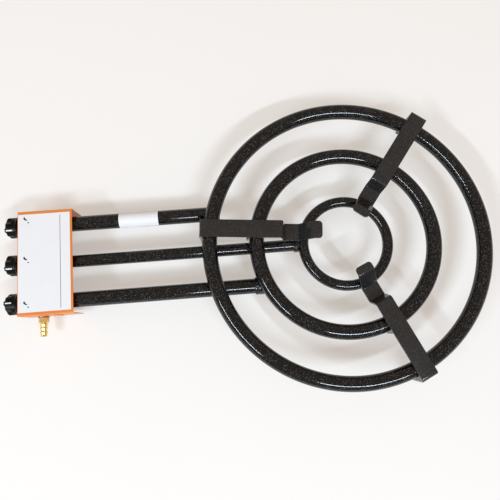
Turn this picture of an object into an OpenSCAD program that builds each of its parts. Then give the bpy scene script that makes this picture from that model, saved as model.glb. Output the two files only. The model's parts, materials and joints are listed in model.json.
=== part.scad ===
// Three-ring paella gas burner with three taps in a folded control box.
// The rings lie level on three arms that are bent down into legs. Units are millimetres.

/* [Rings] */
// Outside diameter of the outer ring
ring_od = 500; // [470:1:530]
// Tube diameter of the outer and middle rings
ring_tube_d = 26; // [22:0.5:28]
// Centreline diameter of the middle ring
middle_ring_d = 307; // [296:1:316]
// How far the middle ring lies off the common axis, towards the control box
middle_ring_shift = 3.3; // [0:0.1:5]
// Centreline diameter of the inner ring
inner_ring_d = 149; // [140:1:158]
// Tube diameter of the inner ring
inner_tube_d = 18.4; // [16.4:0.2:20]
// Wall of the ring tubes
ring_wall = 1.5; // [1:0.1:2.5]
// Height of the inner ring's centre above the feed tubes' axis
inner_ring_rise = 8; // [6:0.5:11]
// Diameter of a flame port
port_d = 2; // [1.4:0.1:2.6]
// Spacing of the flame ports along a ring
port_pitch = 13; // [10:0.5:30]
// Lean of the flame ports from straight up, towards the middle of the ring
port_tilt = 45; // [25:1:60]

/* [Feed tubes] */
// Height of the feed tubes' axis above the floor
feed_z = 45; // [43:0.5:50]
// Diameter of the outer and middle feed tubes
feed_d = 26; // [23:0.5:28]
// Diameter of the inner feed tube
inner_feed_d = 21; // [18:0.5:22]
// Wall of the feed tubes
feed_wall = 1.5; // [1:0.1:2.5]
// Sideways place of the inner feed tube, off the ring axis
feed_shift = 4.6; // [2:0.2:6]
// How far the outer and middle feed tubes end short of the inner edge of the ring above
feed_short = 6; // [3:0.5:8]
// How far the inner feed tube runs on past the middle of its ring's tube
feed_overrun = 3; // [1:0.5:8]
// Thickness of the disc that closes a feed tube
cap_t = 2; // [1.5:0.1:3]
// Diameter of the gas passage from a feed tube into its ring
passage_d = 6; // [4:0.5:8]
// Diameter of the weld saddle between the outer feed tube and its ring
weld_d = 18; // [14:0.5:20]
// Length of the weld collars on the middle and inner feed tubes, outside the ring
weld_collar = 7; // [5:0.5:9]
// Thickness of the weld collars
weld_collar_t = 2.2; // [1:0.1:3]

/* [Arms] */
// Width of the flat bar
arm_w = 30; // [24:0.5:32]
// Thickness of the flat bar
arm_t = 4; // [3:0.5:5]
// Direction of the near arm, from straight ahead
near_arm_turn = 175; // [173:1:177]
// Direction of the far left arm
far_left_arm_turn = 53; // [51:1:57]
// Direction of the far right arm
far_right_arm_turn = 295; // [292:1:298]
// Sideways place of the near arm, between the outer and inner feed tubes
near_arm_shift = 16.5; // [14:0.5:20]
// Sideways place of the far left arm
far_left_arm_shift = 9; // [0:0.5:12]
// Sideways place of the far right arm
far_right_arm_shift = 5; // [0:0.5:8]
// Room between the outer ring and the near arm's leg
near_leg_room = 0.3; // [0.3:0.1:8]
// Room between the outer ring and the far left arm's leg
far_left_leg_room = 7.3; // [0.3:0.1:12]
// Room between the outer ring and the far right arm's leg
far_right_leg_room = 4.3; // [0.3:0.1:12]
// Depth of the step beside the inner ring
dip_depth = 26; // [22:0.5:28]
// Length of the step's floor
dip_floor = 22.5; // [16:0.5:26]
// Slope of the bar where it climbs over the inner ring
climb_angle = 48; // [42:1:60]
// Slope of the bar where it drops off the flat
drop_angle = 75; // [65:1:85]
// Length of the flat tab at the inner end
tab_len = 14; // [8:0.5:18]
// Corner radius of the tab
tab_r = 6; // [3:0.5:10]
// Outside radius of the bend into the leg
leg_bend_r = 7; // [6:0.5:12]
// Width of a ring stop plate
stop_w = 26; // [18:0.5:26]
// Length of a ring stop plate
stop_len = 38; // [30:0.5:42]

/* [Control box] */
// Distance from the ring axis to the box's front panel
box_reach = 561; // [530:1:600]
// Depth of the box, front to back
box_l = 92; // [86:1:110]
// Width of the box
box_w = 178; // [174:1:200]
// Distance from the axis of an outer tap to the box's end
tap_side = 22.5; // [21.5:0.5:24]
// Height of the cover
box_h = 54; // [50:1:58]
// Rise of the box's top above the feed tubes' axis
box_rise = 21; // [20:0.5:28]
// Sheet thickness of the cover
sheet_t = 1.2; // [0.8:0.1:1.3]
// Bend radius of the cover
box_r = 1.6; // [1.4:0.1:3]
// Thickness of the plate stuck on the top
plate_t = 0.3; // [0.2:0.05:0.6]
// Bare margin of the top beside the plate, at the two ends
plate_side_margin = 5.5; // [4:0.5:12]
// Bare margin of the top in front of the plate
plate_front_margin = 1.7; // [1.6:0.1:8]
// Bare margin of the top behind the plate
plate_back_margin = 3.5; // [2:0.5:10]
// Start of the sticker on the outer feed tube, from the ring axis
sticker_reach = 392; // [340:1:420]
// Length of the sticker
sticker_len = 68; // [40:1:75]

/* [Knobs] */
// Diameter of a knob's flared rim
knob_d = 40; // [38:0.5:46]
// Diameter of a knob's body
knob_body_d = 34.5; // [32:0.5:36]
// Length of a knob without its rib
knob_len = 19.8; // [18.6:0.2:24]
// Height of the rib across a knob's front
knob_rib_h = 1; // [0.6:0.1:3]
// Width of the rib
knob_rib_w = 7; // [5:0.5:10]
// Wall of a knob round the hollow in its back
knob_wall = 2.5; // [2:0.1:3.5]
// Depth of the hollow
knob_hollow = 9; // [8:0.5:10]
// Width of the sloped edge round a knob's front
knob_edge = 1.5; // [1:0.5:4]
// Depth of a finger scoop
scoop_depth = 3; // [1:0.5:3.5]
// Free gap between a knob and the front panel
knob_gap = 2.5; // [2.4:0.1:4]
// Travel of a knob when it is pushed
push_travel = 2; // [1.5:0.1:2.1]
// Turn of the outer ring's pointer from straight up, as the knob sits on its spindle
outer_knob_turn = 25; // [-30:1:30]
// Turn of the inner ring's pointer from straight up
inner_knob_turn = 25; // [-30:1:30]
// Turn of the middle ring's pointer from straight up
middle_knob_turn = -4; // [-30:1:30]

/* [Taps] */
// Diameter of a spindle
spindle_d = 8; // [6:0.5:9]
// Depth of the flat on a spindle, from its axis
spindle_flat = 2.5; // [2:0.1:2.9]
// Diameter of a gland's threaded neck
neck_d = 14; // [13:0.5:16]
// Length of the neck outside the panel
neck_out = 5; // [4:0.1:5.4]
// Thickness of a panel nut
nut_t = 3; // [2:0.1:3.4]
// Width of a panel nut across its flats
nut_af = 19; // [18:0.5:21]
// Width of a gland across its flats
gland_af = 22; // [21:0.5:24]
// Thickness of a gland's hexagon
gland_t = 4; // [3:0.5:5]
// Outside diameter of a valve body
valve_d = 20; // [19:0.5:22]
// Front diameter of a taper plug
plug_d = 15; // [14.5:0.1:15.4]
// Rear diameter of a taper plug
plug_rear_d = 12.6; // [11:0.1:14]
// Length of a taper plug
plug_len = 22; // [21:0.5:26]
// Depth of the driving slot in a plug
slot_depth = 7; // [6.9:0.1:8]
// Thickness of a spindle's driving tongue
tongue_t = 2.8; // [2:0.1:3]
// Width of the tongue
tongue_w = 8.4; // [7:0.1:8.6]
// Reach of the tongue into the slot at rest
tongue_reach = 3.5; // [2.5:0.1:3.6]
// Length of a return spring at rest
spring_len = 8; // [7.5:0.1:9]
// Mean diameter of a return spring
spring_d = 10.4; // [10.2:0.1:11]
// Wire diameter of a return spring
wire_d = 0.8; // [0.5:0.05:0.85]
// Number of turns of a return spring
spring_turns = 4; // [3:1:5]
// Diameter of the gas ways inside a tap
gas_way_d = 5; // [3:0.5:5.5]
// Diameter of a plug's second port, for the low flame
low_port_d = 1.6; // [1:0.1:2.4]
// Thread diameter of an injector
injector_d = 8; // [7:0.5:9]
// Orifice diameter of an injector
orifice_d = 1.2; // [0.6:0.1:1.6]

/* [Gas rail] */
// Drop of the rail's axis below the taps' axis
rail_drop = 21; // [20.5:0.5:23]
// Diameter of the rail
rail_d = 18; // [16:0.5:19]
// Wall of the rail
rail_wall = 2; // [1.5:0.1:2.5]
// Width of the hose nozzle across its flats
nozzle_af = 16; // [15:0.5:19]
// Length of the nozzle's hexagon
nozzle_hex_l = 8; // [5:0.5:10]
// Length of the nozzle's barbed end
barb_l = 24; // [20:0.5:32]
// Crest diameter of the barbs
barb_d = 12.6; // [11.6:0.1:13.2]
// Root diameter between the barbs
barb_root_d = 10.2; // [9.5:0.1:11]
// Number of barbs
barb_n = 3; // [2:1:4]
// Width of a barb's crest
barb_land = 1.2; // [0.8:0.1:2]
// Bore of the nozzle
nozzle_bore_d = 7; // [5:0.5:7.5]

/* [Hidden] */
$fn = 96;
// Clearances
weld_gap = 0.3;
fit_gap = 0.05;
slide_gap = 0.1;
weld_skin = 0.1;
hole_gap = 0.2;
cut = 1;

// Ring levels, from the tubes that pass under them
tube_r = ring_tube_d / 2;
inner_tube_r = inner_tube_d / 2;
feed_r = feed_d / 2;
inner_feed_r = inner_feed_d / 2;
outer_ring_r = ring_od / 2 - tube_r;
middle_ring_r = middle_ring_d / 2;
inner_ring_r = inner_ring_d / 2;
outer_ring_z = feed_z + feed_r + tube_r + weld_gap;
middle_ring_z = feed_z + inner_feed_r + tube_r + weld_gap;
inner_ring_z = feed_z + inner_ring_rise;

// Feed tubes
feed_pitch = box_w / 2 - tap_side;
passage_lip = 1;
outer_feed_y = feed_shift + feed_pitch;
inner_feed_y = feed_shift;
middle_feed_y = feed_shift - feed_pitch;
function ring_cross(radius, y) = -sqrt(radius * radius - y * y);
outer_cross_x = ring_cross(outer_ring_r, outer_feed_y);
middle_cross_x = -middle_ring_shift + ring_cross(middle_ring_r, middle_feed_y);
inner_cross_x = ring_cross(inner_ring_r, inner_feed_y);
// A tube ends under its ring, but never across the gas passage
function feed_end(inner_edge, cross_x) = max(inner_edge - feed_short, cross_x + passage_d / 2 + passage_lip);
outer_feed_end = feed_end(ring_cross(outer_ring_r - tube_r, outer_feed_y), outer_cross_x);
middle_feed_end = feed_end(ring_cross(middle_ring_r - tube_r, middle_feed_y) - middle_ring_shift,
    middle_cross_x);
inner_feed_end = inner_cross_x + feed_overrun;
inner_passage_x = inner_cross_x - inner_tube_r / 3;

// Arms
arm_under = outer_ring_z + tube_r + weld_gap;
arm_top = arm_under + arm_t;
dip_top = arm_top - dip_depth;
function leg_out(room) = ring_od / 2 + room + arm_t;
// Distance along an arm where the climbing part, at a depth below its top face, reaches a height
function climb_s(z, depth) = inner_ring_r
    + (inner_tube_r + weld_gap + arm_t - depth - (z - inner_ring_z) * cos(climb_angle)) / sin(climb_angle);
climb_foot_s = climb_s(dip_top, 0);
drop_foot_s = climb_foot_s + dip_floor;
flat_s = drop_foot_s + dip_depth / tan(drop_angle);
// The same for the part that drops off the flat
function drop_s(z, depth) = flat_s + depth * sin(drop_angle)
    - (arm_top - depth * cos(drop_angle) - z) / tan(drop_angle);
tab_end_s = climb_s(arm_top, 0) - tab_len;

// Control box
box_top = feed_z + box_rise;
box_bottom = box_top - box_h;
box_y = feed_shift;
box_inner_w = box_w - 2 * sheet_t;
knob_front = knob_gap + knob_len + knob_rib_h;
// The part's origin lies below the middle of its box, so the ring axis stands off it
ring_x = (box_reach + knob_front - ring_od / 2) / 2;

// Places along a tap's axis, inwards from the outer face of the front panel
spindle_r = spindle_d / 2;
plug_r = plug_d / 2;
plug_rear_r = plug_rear_d / 2;
valve_r = valve_d / 2;
gas_way_r = gas_way_d / 2;
injector_r = injector_d / 2;
gland_back = sheet_t + gland_t;
collar_gap = 0.3;
collar_t = 1.5;
collar_step = 2.5;
collar_r = spindle_r + collar_step;
collar_front = gland_back + collar_gap;
spring_front = collar_front + collar_t;
plug_front = spring_front + spring_len;
plug_back = plug_front + plug_len;
plug_end_gap = 0.5;
seat_back = plug_back + plug_end_gap;
inlet_step = 5.5;
inlet_at = plug_front + slot_depth + inlet_step;
outlet_len = 5.5;
injector_seat = seat_back + outlet_len;
injector_thread = 8;
valve_back = injector_seat + injector_thread;
chamber_step = 0.5;
chamber_r = plug_r + chamber_step;
valve_step = 1.5;
valve_front_r = valve_r + valve_step;
outlet_wall = 4;
outlet_r = injector_r + outlet_wall;
injector_hex_t = 4;
injector_af = 12;
nose_len = 6;
nose_r = 3.6;
nose_tip_r = 2.4;
jet_len = 3;
jet_wall = 0.8;
mouth_gap = 1.5;
mouth_at = valve_back + injector_hex_t + nose_len + mouth_gap;
mouth_lead = 4.5;
boss_r = 6.5;
spigot_r = 4;
knob_cover = 3;
spindle_tip = knob_gap + knob_len - knob_cover;
hub_r = 7.5;
hub_gap = 0.6;
hub_back = neck_out - knob_gap + push_travel + hub_gap;
scoop_r = 14;
scoop_floor = 1.5;
rim_t = 1;
rim_flare = 2.5;

// Bracket that carries the tube mouths
bracket_t = 2.5;
bracket_at = mouth_at + mouth_lead;
bracket_flange = 14;
bracket_h = 40;
bracket_drop = 23;
bracket_bottom = feed_z - bracket_drop;
screw_r = 2.4;
screw_head_r = 4.2;
screw_head_h = 1.3;
screw_len = 8;
screw_rise = 10;
screw_at = bracket_at - bracket_flange / 2;

// Gas rail
rail_r = rail_d / 2;
rail_bore_r = rail_r - rail_wall;
rail_z = feed_z - rail_drop;
rail_out = 1;
rail_low_y = box_y - box_w / 2 - rail_out;
rail_plug_flange = 2;
rail_plug_len = 8;
rail_high_y = box_y + box_inner_w / 2 - 2 * rail_plug_flange;
washer_t = 1.5;
nozzle_thread_l = 8;
barb_tip_l = 3;

function hex_r(across_flats) = across_flats / 2 / cos(30);

// Burner rings

module from_origin() {
    translate([ring_x, 0, 0]) children();
}

module ring_solid(centre_r, section_r) {
    rotate_extrude() translate([centre_r, 0]) circle(section_r);
}

module flame_ports(centre_r, section_r) {
    port_n = floor(2 * PI * (centre_r - section_r * sin(port_tilt)) / port_pitch);
    for (i = [0 : port_n - 1])
        rotate((i + 0.5) * 360 / port_n)
            translate([centre_r, 0, 0])
                rotate([0, -port_tilt, 0])
                    translate([0, 0, section_r - 2 * ring_wall])
                        rotate([0, 0, 90]) cylinder(h = 3 * ring_wall, d = port_d);
}

module ring(centre_r, section_r) {
    difference() {
        rotate_extrude()
            translate([centre_r, 0])
                difference() {
                    circle(section_r);
                    circle(section_r - ring_wall);
                }
        flame_ports(centre_r, section_r);
    }
}

module passage(x, y, top_z) {
    translate([x, y, feed_z]) cylinder(h = top_z - feed_z, d = passage_d);
}

module outer_ring() {
    color("#1b1b1d") difference() {
        translate([0, 0, outer_ring_z]) ring(outer_ring_r, tube_r);
        passage(outer_cross_x, outer_feed_y, outer_ring_z);
    }
}

module middle_ring() {
    color("#1b1b1d") difference() {
        translate([-middle_ring_shift, 0, middle_ring_z]) ring(middle_ring_r, tube_r);
        passage(middle_cross_x, middle_feed_y, middle_ring_z);
    }
}

module inner_ring() {
    color("#1b1b1d") difference() {
        translate([0, 0, inner_ring_z]) ring(inner_ring_r, inner_tube_r);
        passage(inner_passage_x, inner_feed_y, inner_ring_z);
    }
}

// Feed tubes and their welds

module bar_x(start_x, end_x, y, z, r) {
    translate([start_x, y, z]) rotate([0, 90, 0]) cylinder(h = end_x - start_x, r = r);
}

module feed_tube(y, r, end_x) {
    mouth_x = mouth_at - box_reach;
    difference() {
        bar_x(mouth_x, end_x, y, feed_z, r);
        bar_x(mouth_x - cut, end_x + cut, y, feed_z, r - feed_wall);
    }
}

module middle_ring_clearance(gap) {
    translate([-middle_ring_shift, 0, middle_ring_z]) ring_solid(middle_ring_r, tube_r + gap);
}

module inner_ring_clearance(gap) {
    translate([0, 0, inner_ring_z]) ring_solid(inner_ring_r, inner_tube_r + gap);
}

module outer_feed_tube() {
    color("#1b1b1d") difference() {
        feed_tube(outer_feed_y, feed_r, outer_feed_end);
        passage(outer_cross_x, outer_feed_y, outer_ring_z);
    }
}

module middle_feed_tube() {
    color("#1b1b1d") difference() {
        feed_tube(middle_feed_y, feed_r, middle_feed_end);
        middle_ring_clearance(weld_gap);
        passage(middle_cross_x, middle_feed_y, middle_ring_z);
    }
}

module inner_feed_tube() {
    color("#1b1b1d") difference() {
        feed_tube(inner_feed_y, inner_feed_r, inner_feed_end);
        inner_ring_clearance(weld_gap);
    }
}

module outer_tube_cap() {
    color("#1b1b1d") bar_x(outer_feed_end, outer_feed_end + cap_t, outer_feed_y, feed_z, feed_r);
}

module middle_tube_cap() {
    color("#1b1b1d") bar_x(middle_feed_end, middle_feed_end + cap_t, middle_feed_y, feed_z, feed_r);
}

module inner_tube_cap() {
    color("#1b1b1d") difference() {
        bar_x(inner_feed_end, inner_feed_end + cap_t, inner_feed_y, feed_z, inner_feed_r);
        inner_ring_clearance(weld_gap);
    }
}

module outer_weld() {
    color("#232224") difference() {
        translate([outer_cross_x, outer_feed_y, feed_z]) cylinder(h = outer_ring_z - feed_z, d = weld_d);
        bar_x(outer_cross_x - weld_d, outer_cross_x + weld_d, outer_feed_y, feed_z, feed_r + weld_skin);
        passage(outer_cross_x, outer_feed_y, outer_ring_z + cut);
        translate([0, 0, outer_ring_z]) ring_solid(outer_ring_r, tube_r + weld_skin);
    }
}

// A collar round a feed tube, from the middle of the ring's tube outwards, less the ring given as a child
module weld_collar_at(cross_x, section_r, y, r) {
    start_x = cross_x - section_r - weld_collar;
    difference() {
        bar_x(start_x, cross_x, y, feed_z, r + weld_collar_t);
        bar_x(start_x - cut, cross_x + cut, y, feed_z, r + weld_skin);
        children();
    }
}

module middle_weld() {
    color("#232224") weld_collar_at(middle_cross_x, tube_r, middle_feed_y, feed_r)
        middle_ring_clearance(weld_skin);
}

module inner_weld() {
    color("#232224") weld_collar_at(inner_cross_x, inner_tube_r, inner_feed_y, inner_feed_r)
        inner_ring_clearance(weld_skin);
}

// Arms, each drawn along +X and turned into place

module arm_side(leg_s) {
    leg_bend_s = leg_s - leg_bend_r;
    polygon([
        [tab_end_s, arm_under],
        [climb_s(arm_under, arm_t), arm_under],
        [climb_s(dip_top - arm_t, arm_t), dip_top - arm_t],
        [drop_s(dip_top - arm_t, arm_t), dip_top - arm_t],
        [drop_s(arm_under, arm_t), arm_under],
        [leg_bend_s, arm_under],
        [leg_bend_s, arm_top],
        [flat_s, arm_top],
        [drop_foot_s, dip_top],
        [climb_foot_s, dip_top],
        [climb_s(arm_top, 0), arm_top],
        [tab_end_s, arm_top]
    ]);
    intersection() {
        translate([leg_bend_s, arm_top - leg_bend_r]) difference() {
            circle(leg_bend_r);
            circle(leg_bend_r - arm_t);
        }
        translate([leg_bend_s, arm_top - leg_bend_r]) square(leg_bend_r);
    }
    translate([leg_s - arm_t, 0]) square([arm_t, arm_top - leg_bend_r]);
}

module arm_plan(leg_s) {
    translate([tab_end_s + tab_r, -arm_w / 2]) square([leg_s - tab_end_s, arm_w]);
    translate([tab_end_s, tab_r - arm_w / 2]) square([2 * tab_r, arm_w - 2 * tab_r]);
    for (side = [-1, 1])
        translate([tab_end_s + tab_r, side * (arm_w / 2 - tab_r)]) circle(tab_r);
}

module arm(turn, shift, room) {
    rotate(turn) translate([0, shift, 0]) intersection() {
        rotate([90, 0, 0]) linear_extrude(2 * arm_w, center = true) arm_side(leg_out(room));
        linear_extrude(arm_top + cut) arm_plan(leg_out(room));
    }
}

module ring_stop(turn, shift) {
    stop_s = middle_ring_r + tube_r + weld_gap - middle_ring_shift * cos(turn);
    rotate(turn)
        translate([stop_s, shift - stop_w / 2, arm_under - stop_len])
            cube([arm_t, stop_w, stop_len]);
}

module near_arm() {
    color("#2b2a2c") arm(near_arm_turn, -near_arm_shift, near_leg_room);
}

module far_left_arm() {
    color("#2b2a2c") arm(far_left_arm_turn, far_left_arm_shift, far_left_leg_room);
}

module far_right_arm() {
    color("#2b2a2c") arm(far_right_arm_turn, -far_right_arm_shift, far_right_leg_room);
}

module near_ring_stop() {
    color("#2b2a2c") ring_stop(near_arm_turn, -near_arm_shift);
}

module far_left_ring_stop() {
    color("#2b2a2c") ring_stop(far_left_arm_turn, far_left_arm_shift);
}

module far_right_ring_stop() {
    color("#2b2a2c") ring_stop(far_right_arm_turn, -far_right_arm_shift);
}

// Control box

// A point on the panel's outer face becomes the origin, with Z running into the box and X down
module at_tap(y) {
    translate([-box_reach, y, feed_z]) rotate([0, 90, 0]) children();
}

module every_tap() {
    for (y = [outer_feed_y, inner_feed_y, middle_feed_y]) at_tap(y) children();
}

module box_block(inset) {
    bend_r = box_r - inset;
    long = box_l + 2 * inset;
    low = box_bottom - 2 * inset;
    high = box_top - inset;
    half = box_w / 2 - inset;
    intersection() {
        translate([0, box_y, 0]) rotate([90, 0, 0]) linear_extrude(box_w, center = true) {
            translate([inset - box_reach, low]) square([long, high - low - bend_r]);
            translate([inset + bend_r - box_reach, low]) square([long - bend_r, high - low]);
            translate([inset + bend_r - box_reach, high - bend_r]) circle(bend_r);
        }
        translate([inset - box_reach, box_y, 0]) rotate([90, 0, 90]) linear_extrude(long) {
            translate([-half, low]) square([2 * half, high - low - bend_r]);
            translate([bend_r - half, low]) square([2 * (half - bend_r), high - low]);
            for (side = [-1, 1])
                translate([side * (half - bend_r), high - bend_r]) circle(bend_r);
        }
    }
}

module rail_bar(low_y, high_y, r) {
    translate([inlet_at - box_reach, high_y, rail_z])
        rotate([90, 0, 0])
            cylinder(h = high_y - low_y, r = r);
}

module at_screws() {
    for (side = [-1, 1], level = [-1, 1])
        translate([screw_at - box_reach, box_y + side * box_w / 2, bracket_bottom + bracket_h / 2])
            translate([0, 0, level * screw_rise])
                rotate([-90 * side, 0, 0])
                    children();
}

module box_cover() {
    color("#e2701f") difference() {
        box_block(0);
        box_block(sheet_t);
        every_tap() translate([0, 0, -cut]) cylinder(h = sheet_t + 2 * cut, r = neck_d / 2 + hole_gap);
        rail_bar(rail_low_y - cut, rail_low_y + rail_out + sheet_t + cut, rail_r + hole_gap);
        at_screws() translate([0, 0, -sheet_t - cut])
            cylinder(h = sheet_t + 2 * cut, r = screw_r + slide_gap);
    }
}

module top_plate() {
    color("#f4f2ee")
        translate([plate_front_margin - box_reach, box_y - box_w / 2 + plate_side_margin, box_top])
            cube([box_l - plate_front_margin - plate_back_margin, box_w - 2 * plate_side_margin, plate_t]);
}

module tube_sticker() {
    sticker_end = sticker_len - sticker_reach;
    color("#f4f2ee") difference() {
        bar_x(-sticker_reach, sticker_end, outer_feed_y, feed_z, feed_r + fit_gap + plate_t);
        bar_x(-sticker_reach - cut, sticker_end + cut, outer_feed_y, feed_z, feed_r + fit_gap);
        translate([-sticker_reach - cut, outer_feed_y - feed_d, feed_z - 2 * feed_d])
            cube([sticker_len + 2 * cut, 2 * feed_d, 2 * feed_d - feed_r / 3]);
    }
}

module tube_bracket() {
    color("#8b8d90") difference() {
        union() {
            translate([bracket_at - box_reach, box_y - box_inner_w / 2, bracket_bottom])
                cube([bracket_t, box_inner_w, bracket_h]);
            for (side = [-1, 1])
                translate([bracket_at - bracket_flange - box_reach,
                    box_y + side * (box_inner_w - bracket_t) / 2 - bracket_t / 2, bracket_bottom])
                    cube([bracket_flange + bracket_t, bracket_t, bracket_h]);
        }
        for (tube = [[outer_feed_y, feed_r], [inner_feed_y, inner_feed_r], [middle_feed_y, feed_r]])
            at_tap(tube[0]) translate([0, 0, bracket_at - cut])
                cylinder(h = bracket_t + 2 * cut, r = tube[1] + fit_gap);
        at_screws() translate([0, 0, -sheet_t - bracket_t - cut])
            cylinder(h = bracket_t + 2 * cut, r = screw_r + fit_gap);
    }
}

module bracket_screws() {
    color("#b9babc") at_screws() {
        cylinder(h = screw_head_h, r = screw_head_r);
        translate([0, 0, -screw_len]) cylinder(h = screw_len, r = screw_r);
    }
}

// Gas rail and hose nozzle

module gas_rail() {
    color("#9a9b9d") difference() {
        rail_bar(rail_low_y, rail_high_y, rail_r);
        rail_bar(rail_low_y - cut, rail_high_y + cut, rail_bore_r);
        every_tap() translate([0, 0, inlet_at]) rotate([0, 90, 0])
            cylinder(h = rail_drop, r = spigot_r + fit_gap);
    }
}

module rail_plug() {
    color("#c9a04a") union() {
        rail_bar(rail_high_y, rail_high_y + rail_plug_flange, rail_r);
        rail_bar(rail_high_y - rail_plug_len, rail_high_y, rail_bore_r - fit_gap);
    }
}

module nozzle_washer() {
    color("#a34a36") difference() {
        rail_bar(rail_low_y - washer_t, rail_low_y, rail_r);
        rail_bar(rail_low_y - washer_t - cut, rail_low_y + cut, rail_bore_r);
    }
}

// Drawn along +Z from the washer outwards
module hose_nozzle() {
    barb_start = nozzle_hex_l;
    barb_step = (barb_l - barb_tip_l) / barb_n;
    crest_r = barb_d / 2;
    root_r = barb_root_d / 2;
    color("#c9a04a")
        translate([inlet_at - box_reach, rail_low_y - washer_t, rail_z])
            rotate([90, 0, 0])
                difference() {
                    union() {
                        translate([0, 0, -washer_t - nozzle_thread_l])
                            cylinder(h = washer_t + nozzle_thread_l, r = rail_bore_r - fit_gap);
                        cylinder(h = nozzle_hex_l, r = hex_r(nozzle_af), $fn = 6);
                        cylinder(h = barb_start + barb_l, r = root_r);
                        for (i = [1 : barb_n])
                            translate([0, 0, barb_start + (i - 1) * barb_step + barb_tip_l / 2]) {
                                cylinder(h = barb_land, r = crest_r);
                                translate([0, 0, barb_land])
                                    cylinder(h = barb_step - barb_land - cut, r1 = crest_r, r2 = root_r);
                            }
                    }
                    translate([0, 0, -washer_t - nozzle_thread_l - cut])
                        cylinder(h = washer_t + nozzle_thread_l + barb_start + barb_l + 2 * cut,
                            d = nozzle_bore_d);
                }
}

// Taps

module valve_body(y) {
    color("#c9a04a") at_tap(y) difference() {
        union() {
            rotate_extrude() polygon([
                [0, gland_back],
                [valve_front_r, gland_back],
                [valve_front_r, plug_front],
                [valve_r, plug_front + valve_front_r - valve_r],
                [valve_r, seat_back],
                [outlet_r, seat_back + valve_r - outlet_r],
                [outlet_r, valve_back],
                [0, valve_back]
            ]);
            translate([0, 0, inlet_at]) rotate([0, 90, 0]) {
                cylinder(h = rail_drop - rail_r - hole_gap, r = boss_r);
                cylinder(h = rail_drop - rail_bore_r + cut, r = spigot_r);
            }
        }
        rotate_extrude() polygon([
            [0, gland_back - cut],
            [chamber_r, gland_back - cut],
            [chamber_r, plug_front],
            [plug_r + fit_gap, plug_front],
            [plug_rear_r + fit_gap, plug_back],
            [plug_rear_r + fit_gap, seat_back],
            [gas_way_r, seat_back],
            [gas_way_r, injector_seat],
            [injector_r, injector_seat],
            [injector_r, valve_back + cut],
            [0, valve_back + cut]
        ]);
        translate([0, 0, inlet_at]) rotate([0, 90, 0]) cylinder(h = rail_drop, r = gas_way_r);
    }
}

// At rest the side port faces +Y, shut off. A quarter turn brings it to the inlet below and a half
// turn brings the low flame's port there.
module valve_plug(y) {
    slot_w = tongue_t + 2 * slide_gap;
    color("#b58f3f") at_tap(y) difference() {
        translate([0, 0, plug_front]) cylinder(h = plug_len, r1 = plug_r, r2 = plug_rear_r);
        translate([-slot_w / 2, -plug_d / 2 - cut, plug_front - cut])
            cube([slot_w, plug_d + 2 * cut, slot_depth + cut]);
        translate([0, 0, inlet_at]) rotate([-90, 0, 0]) cylinder(h = plug_d, r = gas_way_r);
        translate([0, 0, inlet_at]) rotate([0, -90, 0]) cylinder(h = plug_d, d = low_port_d);
        translate([0, 0, inlet_at]) cylinder(h = plug_len, r = gas_way_r);
    }
}

module spindle_stem(tip, r, flat) {
    intersection() {
        translate([0, 0, -tip]) cylinder(h = tip, r = r);
        translate([-flat, -2 * r, -tip - cut]) cube([2 * flat + r, 4 * r, tip + 2 * cut]);
    }
}

module spindle(y) {
    color("#bdbec0") at_tap(y) {
        spindle_stem(spindle_tip, spindle_r, spindle_flat);
        translate([0, 0, -neck_out]) cylinder(h = neck_out + collar_front, r = spindle_r);
        translate([0, 0, collar_front]) cylinder(h = collar_t, r = collar_r);
        translate([-tongue_t / 2, -tongue_w / 2, spring_front])
            cube([tongue_t, tongue_w, spring_len + tongue_reach]);
    }
}

// A helix of round wire between the spindle's collar and the plug
module spring(y) {
    wire_r = wire_d / 2;
    coil_r = spring_d / 2;
    sides = 6;
    steps = 12 * spring_turns;
    low = spring_front + wire_d;
    rise = spring_len - 2 * wire_d;
    wire = [for (i = [0 : steps], j = [0 : sides - 1])
        let (turn = 360 * spring_turns * i / steps, round = 360 * j / sides)
        [(coil_r + wire_r * cos(round)) * cos(turn),
            (coil_r + wire_r * cos(round)) * sin(turn),
            low + rise * i / steps + wire_r * sin(round)]];
    walls = [for (i = [0 : steps - 1], j = [0 : sides - 1])
        let (a = i * sides + j, b = i * sides + (j + 1) % sides)
        each [[a, a + sides, b + sides], [a, b + sides, b]]];
    last = steps * sides;
    ends = [for (j = [1 : sides - 2]) each [[0, j, j + 1], [last, last + j + 1, last + j]]];
    echo(str("return spring gap between turns ", rise / spring_turns - wire_d));
    color("#a9abae") at_tap(y) polyhedron(wire, concat(walls, ends));
}

module gland(y) {
    color("#c9a04a") at_tap(y) difference() {
        union() {
            translate([0, 0, sheet_t]) cylinder(h = gland_t, r = hex_r(gland_af), $fn = 6);
            translate([0, 0, -neck_out]) cylinder(h = neck_out + gland_back, d = neck_d);
            translate([0, 0, gland_back]) cylinder(h = collar_t, r = chamber_r - fit_gap);
        }
        translate([0, 0, -neck_out - cut])
            cylinder(h = neck_out + gland_back + collar_t + 2 * cut, r = spindle_r + fit_gap);
        translate([0, 0, gland_back]) cylinder(h = collar_t + cut, r = collar_r + hole_gap);
    }
}

module panel_nut(y) {
    color("#b9babc") at_tap(y) translate([0, 0, -nut_t]) difference() {
        cylinder(h = nut_t, r = hex_r(nut_af), $fn = 6);
        translate([0, 0, -cut]) cylinder(h = nut_t + 2 * cut, r = neck_d / 2 + fit_gap);
    }
}

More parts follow.
